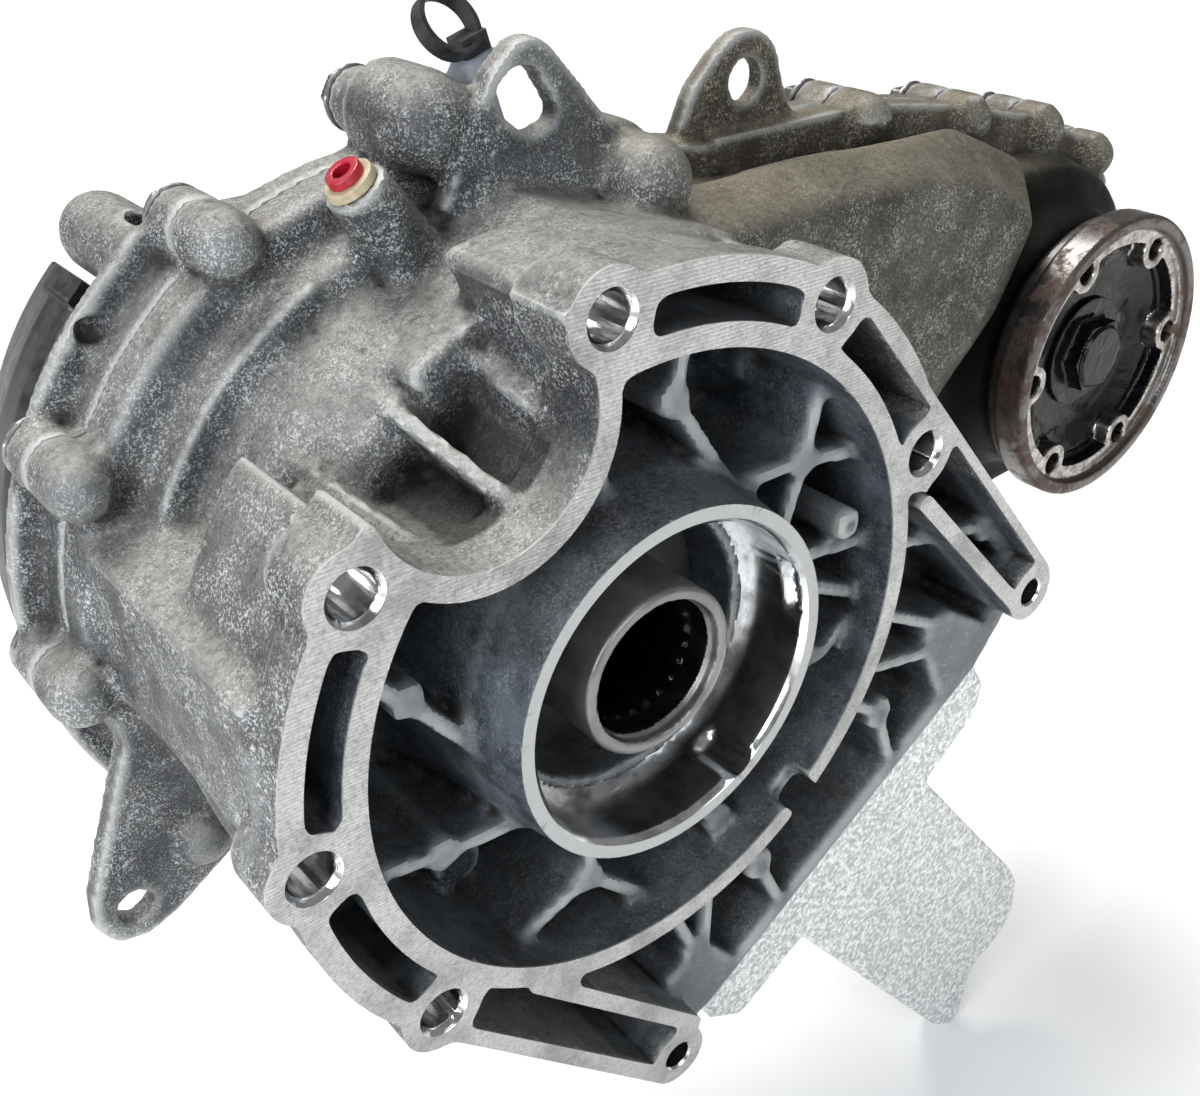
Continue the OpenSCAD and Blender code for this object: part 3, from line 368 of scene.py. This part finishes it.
CAST = cast_aluminium()
MILLED = milled_aluminium()
BORE = bright_bore()
RUST = rusty_steel()
GREASE_AND_SHADE = grease_and_shade_black()
STEEL = plain_metal("ground_steel", (0.5, 0.5, 0.5), (0.3, 0.3, 0.3), 0.22, turned=True)
HUB = plain_metal("hub_steel", (0.17, 0.168, 0.165), (0.26, 0.255, 0.25), 0.3, 90, 0.75, turned=True)
WORN = plain_metal("worn_steel", (0.5, 0.49, 0.47), (0.16, 0.13, 0.11), 0.22)
DARK = plain_metal("dark_steel", (0.12, 0.12, 0.125), (0.06, 0.06, 0.062), 0.34)
ZINC = plain_metal("zinc_steel", (0.3, 0.3, 0.3), (0.14, 0.13, 0.11), 0.35)
IRON = plain_metal("carrier_iron", (0.13, 0.13, 0.135), (0.07, 0.07, 0.07), 0.45, metallic=0.8)
COPPER = plain_metal("copper", (0.6, 0.3, 0.17), (0.3, 0.17, 0.1), 0.35)
RUBBER = plastic("black_rubber", (0.012, 0.012, 0.013), (0.03, 0.03, 0.03), 0.5, 0.25)
PAINT = plastic("black_paint", (0.012, 0.012, 0.013), (0.035, 0.032, 0.03), 0.28, 0.15, Coat_Weight=0.2)
BLACK = plastic("black_plastic", (0.012, 0.013, 0.015), (0.04, 0.042, 0.045), 0.38, 0.1)
RED = plastic("red_plastic", (0.42, 0.006, 0.025), (0.3, 0.004, 0.02), 0.3, 0.04, Coat_Weight=0.3)
IVORY = plastic("ivory_plastic", (0.5, 0.43, 0.28), (0.3, 0.25, 0.16), 0.42)
CLEAR = plastic("clear_plastic", (0.4, 0.44, 0.5), (0.28, 0.31, 0.36), 0.3, 0.05,
                Transmission_Weight=0.45, IOR=1.5)


# ---------------------------------------------------------------- meshes


def add(name, mesh, body, slot, *replaced):
    """A new piece that rides on a body and stands for the CAD nodes it replaces."""
    obj = bpy.data.objects.new(name, mesh)
    scene.collection.objects.link(obj)
    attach(obj, body)
    if replaced:
        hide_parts(*replaced)
    return obj


def applied(obj):
    """The object's mesh with its modifiers applied."""
    graph = bpy.context.evaluated_depsgraph_get()
    mesh = bpy.data.meshes.new_from_object(obj.evaluated_get(graph), depsgraph=graph)
    obj.modifiers.clear()
    old, obj.data = obj.data, mesh
    if not old.users:
        bpy.data.meshes.remove(old)
    return mesh


def coords(mesh):
    """A mesh's points as rows of x, y and z, in mm."""
    v = np.empty(len(mesh.vertices) * 3, np.float32)
    mesh.vertices.foreach_get("co", v)
    return v.reshape(-1, 3) / MM


def metres(x, y, z):
    """A point given in mm, in Blender's metres."""
    return x * MM, y * MM, z * MM


def finished(bm, name):
    """A mesh from a closed bmesh, with its normals outward."""
    bmesh.ops.recalc_face_normals(bm, faces=bm.faces)
    mesh = bpy.data.meshes.new(name)
    bm.to_mesh(mesh)
    bm.free()
    return mesh


def revolve(points, at=(0, 0), steps=CURVE_STEPS):
    """A closed solid turned about an axis along Y, from a closed loop of (radius, y) in mm."""
    bm = bmesh.new()
    rings = []
    for i in range(steps):
        across, up = polar(1, 360 * i / steps)
        rings.append([bm.verts.new(metres(at[0] + r * across, y, at[1] + r * up)) for r, y in points])
    for i, ring in enumerate(rings):
        following = rings[(i + 1) % steps]
        for k in range(len(points)):
            j = (k + 1) % len(points)
            if points[k][0] or points[j][0]:
                bm.faces.new((ring[k], following[k], following[j], ring[j]))
    bmesh.ops.remove_doubles(bm, verts=bm.verts, dist=WELD)
    return finished(bm, "cutter")


def fin(points, degrees, width):
    """A closed rib lying in a plane through the main axis, from a loop of (radius, y) in mm."""
    bm = bmesh.new()
    sides = []
    for side in (-width / 2, width / 2):
        shift = polar(side, degrees + 90)
        rim = [(polar(r, degrees), y) for r, y in points]
        sides.append([bm.verts.new(metres(x + shift[0], y, z + shift[1])) for (x, z), y in rim])
    for k in range(len(points)):
        j = (k + 1) % len(points)
        bm.faces.new((sides[0][k], sides[0][j], sides[1][j], sides[1][k]))
    for side in sides:
        bm.faces.new(side)
    return finished(bm, "fin")


def cut(obj, meshes):
    """Take crisp machined cuts out of a casting."""
    made = []
    for k, mesh in enumerate(meshes):
        tool = bpy.data.objects.new("tool", mesh)
        scene.collection.objects.link(tool)
        step = obj.modifiers.new(f"cut{k}", "BOOLEAN")
        step.operation, step.solver, step.object = "DIFFERENCE", "MANIFOLD", tool
        made.append(tool)
    applied(obj)
    for tool in made:
        mesh = tool.data
        bpy.data.objects.remove(tool)
        bpy.data.meshes.remove(mesh)


def softened(name, node, body, slot, voxel, even, heavy=(), before=None, extra=()):
    """A copy of a CAD node with rounded edges: voxel remesh, then smoothing, stronger in the heavy places.
    The remesh also fuses the extra closed meshes with it."""
    mesh = frame["nodes"][node].data.copy()
    if before:
        where = coords(mesh)
        before(where)
        mesh.vertices.foreach_set("co", (where * MM).astype(np.float32).ravel())
    if extra:
        bm = bmesh.new()
        bm.from_mesh(mesh)
        for more in extra:
            bm.from_mesh(more)
            bpy.data.meshes.remove(more)
        bm.to_mesh(mesh)
        bm.free()
    obj = add(name, mesh, body, slot, node)
    obj.modifiers.new("remesh", "REMESH").mode = "VOXEL"
    obj.modifiers["remesh"].voxel_size = voxel * MM * 1
    applied(obj)
    for k, (times, places) in enumerate(heavy):
        group = obj.vertex_groups.new(name=f"soft{k}")
        group.add(np.nonzero(places(coords(obj.data)))[0].tolist(), 1.0, "REPLACE")
        step = obj.modifiers.new(f"soft{k}", "SMOOTH")
        step.iterations, step.factor, step.vertex_group = times, SMOOTH_FACTOR, group.name
    step = obj.modifiers.new("even", "SMOOTH")
    step.iterations, step.factor = even, SMOOTH_FACTOR
    applied(obj)
    obj.vertex_groups.clear()
    return obj


def dress(obj, materials, chosen=None):
    """Give a piece its materials, with the slot of each face from its centre and normal, in mm."""
    mesh = obj.data
    mesh.materials.clear()
    for m in materials:
        mesh.materials.append(m)
    count = len(mesh.polygons)
    index = np.zeros(count, np.int32)
    if chosen:
        centre, normal = np.empty(count * 3, np.float32), np.empty(count * 3, np.float32)
        mesh.polygons.foreach_get("center", centre)
        mesh.polygons.foreach_get("normal", normal)
        index = chosen(centre.reshape(-1, 3) / MM, normal.reshape(-1, 3)).astype(np.int32)
    mesh.polygons.foreach_set("material_index", index)
    mesh.polygons.foreach_set("use_smooth", np.ones(count, bool))
    mesh.set_sharp_from_angle(angle=math.radians(SHARP_ANGLE))
    mesh.update()
    return obj


def paint(obj, **layers):
    """Store named weights on a mesh's points."""
    for name, values in layers.items():
        layer = obj.data.attributes.new(name, "FLOAT", "POINT")
        layer.data.foreach_set("value", np.clip(values, 0, 1).astype(np.float32))


def near(value, target, reach):
    return np.abs(value - target) < reach


def ease(value, low, high):
    """0 up to low, 1 from high on, and a smooth rise between them."""
    t = np.clip((value - low) / (high - low), 0, 1)
    return t * t * (3 - 2 * t)


def within(where, **limits):
    """Points whose x, y or z lies between two limits, in mm. FAR leaves a side open."""
    inside = np.ones(len(where), bool)
    for axis, (low, high) in limits.items():
        value = where[:, "xyz".index(axis)]
        inside &= (value > low) & (value < high)
    return inside


def away(where, point=(0, 0)):
    """Distance from an axis along Y."""
    return np.hypot(where[:, 0] - point[0], where[:, 2] - point[1])


def nearest(where, points):
    """Distance from the nearest of several axes along Y."""
    return np.min([away(where, point) for point in points], axis=0)


# ---------------------------------------------------------------- castings


def hole(radius, y0, y1, at, chamfer=0.0):
    """Cutter for a bore that opens at y = 0, with a chamfered mouth."""
    if not chamfer:
        return revolve([(0, y0), (radius, y0), (radius, y1), (0, y1)], at, HOLE_STEPS)
    mouth = [(0, y0), (radius + chamfer - y0, y0), (radius, chamfer)]
    return revolve([*mouth, (radius, y1), (0, y1)], at, HOLE_STEPS)


ROUND_HOLES = [polar(HOLE_CIRCLE, a) for a in HOLE_ANGLES]
PADS = [polar(PAD_CIRCLE, a) for a in PAD_ANGLES] + [LOW_PAD]


def not_bell_ribs(where):
    """All but the bell's thin ribs."""
    return (where[:, 1] > BELL_FLOOR_Y + 2) | (away(where) > RING_OUTER + 3)


def chain_wall(where):
    """The bulged front wall of the chain case."""
    box = within(where, x=(WALL_X, FAR), y=WALL_Y, z=(-FAR, WALL_TOP))
    return box & (away(where, FRONT_AXIS) > WALL_CLEAR) & (away(where) > RING_INNER)


def rounded_walls(where):
    """The thick outer walls, where the casting's edges are well rounded."""
    radius = away(where)
    thick = within(where, y=THICK_Y, z=(-FAR, THICK_TOP)) & (radius < THICK_RADIUS)
    thick &= (radius > RING_OUTER) | (where[:, 1] > THICK_BACK)
    foot_side = within(where, y=(FOOT_SIDE_Y, FAR), z=(-FAR, FOOT_SIDE_TOP))
    return thick & (away(where, FRONT_AXIS) > THICK_CLEAR) & ~foot_side


def roof_end(where):
    """The left end of the roof, where it runs out into the notch."""
    return within(where, x=ROOF_X, y=ROOF_Y, z=ROOF_Z) & (away(where, BREATHER) > ROOF_CLEAR)


# places of the front casting that are smoothed more, with the times
SMOOTHED = ((2, not_bell_ribs), (60, chain_wall), (12, rounded_walls), (30, roof_end))


def stretched(where):
    """Push the joint faces forward, so that the milling cuts leave them crisp."""
    face, boss = near(where[:, 1], 0, 0.05), near(where[:, 1], -BOSS_PROUD, 0.05)
    where[face, 1] = -STRETCH
    where[boss, 1] = -BOSS_PROUD - STRETCH


def milling_cuts():
    """Everything machined in the front casting: faces, boss bore and holes."""
    front, far_front, chamfer, face_gap = -12, -40, 1.5, BOSS_RADIUS + 2.5
    chamfer_end = chamfer - BOSS_PROUD
    return [
        revolve([(0, far_front), (FAR, far_front), (FAR, -BOSS_PROUD), (0, -BOSS_PROUD)]),
        revolve([(face_gap, front), (FAR, front), (FAR, 0), (face_gap, 0)]),
        revolve([(0, front), (BOSS_BORE + chamfer_end - front, front), (BOSS_BORE, chamfer_end),
                 (BOSS_BORE, SHOULDER_Y), (0, SHOULDER_Y)]),
        *[hole(HOLE_RADIUS, -1, EAR_DEPTH, p, HOLE_CHAMFER) for p in ROUND_HOLES],
        *[hole(CORNER_HOLE_RADIUS, -1, EAR_DEPTH, p, CORNER_CHAMFER) for p in CORNER_HOLES],
        hole(EYE_RADIUS, LUG_BACK_Y, PARTING_Y + 4, EYE),
        hole(BRACKET_HOLE_RADIUS, LUG_BACK_Y, PARTING_Y, BRACKET_HOLE),
    ]


def front_slots(centre, normal):
    """Slot of each face of the front casting: 0 as cast, or one of these."""
    milled, bored = 1, 2
    y, forward, radius = centre[:, 1], -normal[:, 1], away(centre)
    index = np.zeros(len(centre))
    index[(forward > FACING) & near(y, 0, 0.02)] = milled
    index[(forward > FACING) & near(y, -BOSS_PROUD, 0.02) & (radius < BOSS_BORE + 3)] = milled
    mouth = (radius > BOSS_BORE - 0.6) & (radius < BOSS_BORE + 2.2) & (y < SHOULDER_Y)
    index[mouth & (np.abs(forward) < SLOPING)] = bored
    index[(forward > FACING) & near(y, SHOULDER_Y, 0.1) & (radius < BOSS_BORE)] = bored
    in_hole = nearest(centre, ROUND_HOLES) < HOLE_RADIUS + 2
    in_hole |= nearest(centre, CORNER_HOLES) < CORNER_HOLE_RADIUS + 1
    index[in_hole & (y < EAR_DEPTH) & (forward < NEARLY_FACING)] = bored
    return index


def front_weights(where):
    """Weights of the front casting's looks: clean inside darkened as painted shade, warm, bright foot as
    painted light, oil with painted shade in the pockets, and painted highlight on the ribs and pads.
    """
    x, y, z = where.T
    radius, angle, from_notch = away(where), np.degrees(np.arctan2(z, x)), away(where, NOTCH) - NOTCH_RADIUS
    foot = within(where, y=FOOT_Y) * ease(x - FOOT_SLOPE * z, *FOOT_EDGE)
    bell = (y < BELL_FLOOR_Y + 2) * (1 - ease(radius, *BELL_EDGE)) * ease(from_notch, *NOTCH_EDGE)
    skirt = within(where, y=SKIRT_Y) * ease(x - SKIRT_SLOPE * z, *SKIRT_EDGE)
    skirt *= (radius > RING_OUTER) * (1 - foot)
    # painted shade in the pockets between the notch's ribs, and oil behind the front flange
    offsets = [np.radians(np.abs(angle - rib[0])) * radius for rib in NOTCH_RIBS]
    crest = np.max([1 - ease(offset, NOTCH_RIB_WIDTH / 2, CREST_EDGE) for offset in offsets], axis=0)
    pocket = within(where, y=POCKET_Y) * (radius > POCKET_FOOT) * (1 - ease(radius, *POCKET_REACH))
    pocket *= ease(angle, *POCKET_RIGHT) * (1 - ease(angle, *POCKET_LEFT))
    pocket *= 1 - crest * ease(radius, *CREST_REACH)
    oil = within(where, y=OIL_Y) * (1 - ease(away(where, FRONT_AXIS), *OIL_REACH))
    # painted highlight on the tops of the ribs and pads, in the bell and in the skirt
    on_pad = nearest(where, PADS) < PAD_RADIUS + 0.6
    highlight_tops = (y > PAD_Y - 2) * (1 - ease(y, PAD_Y + 1, PAD_Y + 5)) * (RIB_TOP_HIGHLIGHT + PAD_TOP_HIGHLIGHT_MORE * on_pad)
    in_skirt = (radius > RING_OUTER + 1) * (z < SKIRT_TOP_Z) * (1 - foot)
    highlight_tops *= (from_notch > 4) * (radius > BOSS_RADIUS + 3) * ((radius < RING_INNER - 1) + in_skirt)
    return {"inside": np.maximum(bell, SKIRT_SHARE * skirt), "warm": ease(y, *WARM_Y) * ease(x, *WARM_X),
            "bright": foot, "grime": np.maximum(oil, POCKET_SHARE * pocket), "pads": highlight_tops}


def front_casting():
    """The bell and the chain case's front half, rounded as a casting and then machined."""
    ribs = [fin([(NOTCH_RIB_FOOT, NOTCH_RIB_FRONT), (low, NOTCH_RIB_FRONT), (high, NOTCH_RIB_SHOULDER),
                 (high + 4, NOTCH_RIB_BACK), (NOTCH_RIB_FOOT, NOTCH_RIB_BACK)], angle, NOTCH_RIB_WIDTH)
            for angle, low, high in NOTCH_RIBS]
    obj = softened("front_casting", "front_case", "case", "cast_aluminium", voxel=1.65, even=1,
                   heavy=SMOOTHED, before=stretched, extra=ribs)
    cut(obj, milling_cuts())
    paint(obj, **front_weights(coords(obj.data)))
    return dress(obj, [CAST, MILLED, BORE], front_slots)


def rear_casting():
    """The cover at the back, as cast, in a warmer tone towards the front output's axis."""
    obj = softened("rear_casting", "rear_case", "case", "cast_aluminium", voxel=1.7, even=4)
    where = coords(obj.data)
    none = np.zeros(len(where))
    warm = REAR_WARMTH * ease(where[:, 0], *REAR_WARM_X)
    paint(obj, inside=none, warm=warm, bright=none, grime=none, pads=none)
    return dress(obj, [CAST])


front_casting()
rear_casting()

# ---------------------------------------------------------------- flanges and turned parts


def flange(name, node, body, centre, face_y, inward):
    """An output flange. Inward is the way along Y from its face into its cup."""
    cup_radius, rim_depth, lug_depth, cup_depth, paint_depth = 46.5, 3.0, 9.5, 13.4, 11.5
    turns = (polar(LUG_CIRCLE, 360 * k / LUG_COUNT) for k in range(LUG_COUNT))
    lugs = [(centre[0] + x, centre[1] + z) for x, z in turns]

    def slots(middle, normal):
        """Slot of each face: 0 rust, or one of these."""
        grease_and_shade, worn, painted = 1, 2, 3
        depth, radius = (middle[:, 1] - face_y) * inward, away(middle, centre)
        index = np.zeros(len(middle))
        index[depth > paint_depth] = painted
        # the cup's inside takes black grease, which is also painted shade
        index[(depth > rim_depth + 0.3) & (depth < cup_depth) & (radius < cup_radius)] = grease_and_shade
        index[near(depth, rim_depth, 0.4) & (normal[:, 1] * inward < -NEARLY_FACING)] = worn
        on_lug = nearest(middle, lugs) < LUG_RADIUS + 0.5
        index[on_lug & (radius < cup_radius - 0.5) & (depth < lug_depth)] = worn
        return index

    obj = softened(name, node, body, "rusty_steel", voxel=0.8, even=2)
    return dress(obj, [RUST, GREASE_AND_SHADE, WORN, PAINT], slots)


flange("front_flange_steel", "front_flange", "front_output", FRONT_AXIS, FRONT_FLANGE_Y, 1)
flange("rear_flange_steel", "rear_flange", "rear_output", (0, 0), REAR_FLANGE_Y, -1)

# pieces whose edges are only rounded: name, node, body, slot, voxel in mm, material
SOFT_PARTS = [
    # the front nut takes the black grease look, which is painted shade deep in the cup
    ("front_nut_body", "front_flange_nut", "front_output", "bright_steel", 0.6, GREASE_AND_SHADE),
    ("rear_nut_body", "rear_flange_nut", "rear_output", "bright_steel", 0.6, ZINC),
    ("dust_shield_body", "dust_shield", "front_output", "black_paint", 0.7, PAINT),
    ("shield", "rear_shield", "case", "black_plastic", 0.8, BLACK),
    ("breather_bush_body", "breather_bush", "case", "ivory_plastic", 0.35, IVORY),
    ("breather_collar_body", "breather_collar", "case", "red_plastic", 0.3, RED),
    ("bolts", "case_bolts", "case", "zinc_steel", 0.7, ZINC),
    ("input_seal_body", "input_seal", "case", "black_rubber", 0.6, RUBBER),
    ("tie_mount_body", "tie_mount", "case", "clear_plastic", 0.4, CLEAR),
]
for name, node, body, slot, voxel, material in SOFT_PARTS:
    dress(softened(name, node, body, slot, voxel, even=2), [material])


def hub_slots(centre, normal):
    """The hub's inside is oily and dark."""
    return (away(centre) < HUB_BORE) & (centre[:, 1] > HUB_RIM_Y)


dress(softened("input_hub", "input_shaft", "carrier", "dark_steel", voxel=0.7, even=2),
      [HUB, GREASE_AND_SHADE], hub_slots)

# ---------------------------------------------------------------- carried-over CAD nodes

SLOTS = {
    "bright_steel": STEEL, "dark_steel": DARK, "zinc_steel": ZINC, "rusty_steel": RUST, "copper": COPPER,
    "carrier_iron": IRON, "cast_aluminium": CAST, "black_rubber": RUBBER, "black_paint": PAINT,
    "black_plastic": BLACK, "ivory_plastic": IVORY, "red_plastic": RED, "clear_plastic": CLEAR,
}
for part in frame["record"]["subparts"]:
    piece = frame["nodes"][part["node"]]
    for place in piece.material_slots:
        place.material = SLOTS[part["material_slot"]]
    if not piece.material_slots:
        piece.data.materials.append(SLOTS[part["material_slot"]])
# the output shafts take the black grease look, which is also painted shade deep in the cups
for name in ("front_output_shaft", "rear_output_shaft"):
    for place in frame["nodes"][name].material_slots:
        place.material = GREASE_AND_SHADE

# ---------------------------------------------------------------- camera, floor and light


def look(obj, at, toward):
    """Place a camera or lamp and point it along a direction."""
    obj.location = at
    obj.rotation_euler = Vector(toward).to_track_quat("-Z", "Y").to_euler()


CAMERA_LENS, CAMERA_SENSOR, CAMERA_NEAR = 41.43, 36, 0.01
CAMERA_AT, CAMERA_TOWARD = (-0.1873, -0.2064, 0.1992), (0.5424, 0.6717, -0.5046)
FLOOR_HALF, FLOOR_GAP = 4.0, 0.001
FLOOR_TONES = (0.9, 0.9, 0.9), (0.94, 0.94, 0.94)
WORLD_STRENGTH = 0.25

camera_data = bpy.data.cameras.new("camera")
camera_data.lens, camera_data.sensor_width, camera_data.clip_start = CAMERA_LENS, CAMERA_SENSOR, CAMERA_NEAR
camera = bpy.data.objects.new("camera", camera_data)
scene.collection.objects.link(camera)
look(camera, CAMERA_AT, CAMERA_TOWARD)
scene.camera = camera

low, high = Vector(cad_box[0]), Vector(cad_box[1])
middle = (low + high) / 2
floor_mesh = bpy.data.meshes.new("floor")
signs = ((-1, -1), (1, -1), (1, 1), (-1, 1))
corners = [(sx * FLOOR_HALF, sy * FLOOR_HALF, low.z - FLOOR_GAP) for sx, sy in signs]
floor_mesh.from_pydata(corners, [], [(0, 1, 2, 3)])
floor = bpy.data.objects.new("floor", floor_mesh)
scene.collection.objects.link(floor)
pale = Shader("floor_pale")
pale.set(Base_Color=pale.mix(pale.noise(scale=3, detail=3, roughness=0.5), *FLOOR_TONES), Roughness=0.8)
floor_mesh.materials.append(pale.material)

world = bpy.data.worlds.new("studio")
scene.world = world
world.use_nodes = True
background = world.node_tree.nodes["Background"]
background.inputs["Color"].default_value = (1, 1, 1, 1)
background.inputs["Strength"].default_value = WORLD_STRENGTH

WARM_WHITE, COOL_WHITE, BLUE_WHITE = (1, 0.98, 0.95), (0.93, 0.96, 1), (0.88, 0.94, 1)


def lamp(name, kind, place, power, color, **more):
    """A light that looks at the middle of the part."""
    data = bpy.data.lights.new(name, kind)
    data.energy, data.color = power, color
    for key, value in more.items():
        setattr(data, key, value)
    obj = bpy.data.objects.new(name, data)
    scene.collection.objects.link(obj)
    look(obj, place, middle - Vector(place))


lamp("sky", "SUN", (0.1, 0.75, 1.3), 3.5, WARM_WHITE, angle=math.radians(35))
lamp("left", "AREA", (-0.95, -0.3, 0.4), 11, COOL_WHITE, shape="RECTANGLE", size=0.5, size_y=0.7)
lamp("front", "AREA", (0.0, -0.95, 0.4), 3.5, BLUE_WHITE, shape="RECTANGLE", size=0.6, size_y=0.5)
scene.view_settings.view_transform = "Standard"
